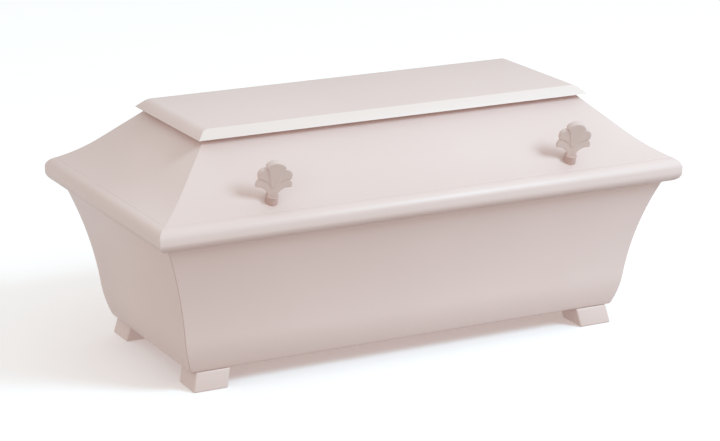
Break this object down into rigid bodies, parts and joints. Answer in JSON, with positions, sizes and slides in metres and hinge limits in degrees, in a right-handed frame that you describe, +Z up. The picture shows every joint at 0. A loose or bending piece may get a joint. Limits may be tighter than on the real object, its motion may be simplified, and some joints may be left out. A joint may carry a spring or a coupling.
{
  "type": "child's coffin",
  "caption": "Small painted coffin: box with ogee sides on raked feet, closed by a loose coved hip lid with rounded rim, bevelled top board and palmette thumb-screws.",
  "frame": {"origin": "on the floor under the middle of the coffin, in the plane of the feet's undersides", "axes": "+X along the length, +Y towards the back side, +Z up"},
  "size_m": [0.8, 0.42, 0.3483],
  "materials": {
    "painted_boards": "satin pale pink paint",
    "painted_lid": "satin pale pink paint",
    "painted_feet": "satin pale pink paint",
    "painted_screws": "satin pale pink paint on cast metal"
  },
  "bodies": {
    "root": {"base_board": "painted_boards", "side_front": "painted_boards", "side_back": "painted_boards", "end_left": "painted_boards", "end_right": "painted_boards", "foot_front_left": "painted_feet", "foot_front_right": "painted_feet", "foot_back_left": "painted_feet", "foot_back_right": "painted_feet", "rim_front": "painted_lid", "rim_back": "painted_lid", "rim_left": "painted_lid", "rim_right": "painted_lid", "slope_front": "painted_lid", "slope_back": "painted_lid", "slope_left": "painted_lid", "slope_right": "painted_lid", "top_board": "painted_lid", "screw_front_left": "painted_screws", "screw_front_right": "painted_screws", "screw_back_left": "painted_screws", "screw_back_right": "painted_screws"}
  },
  "joints": []
}
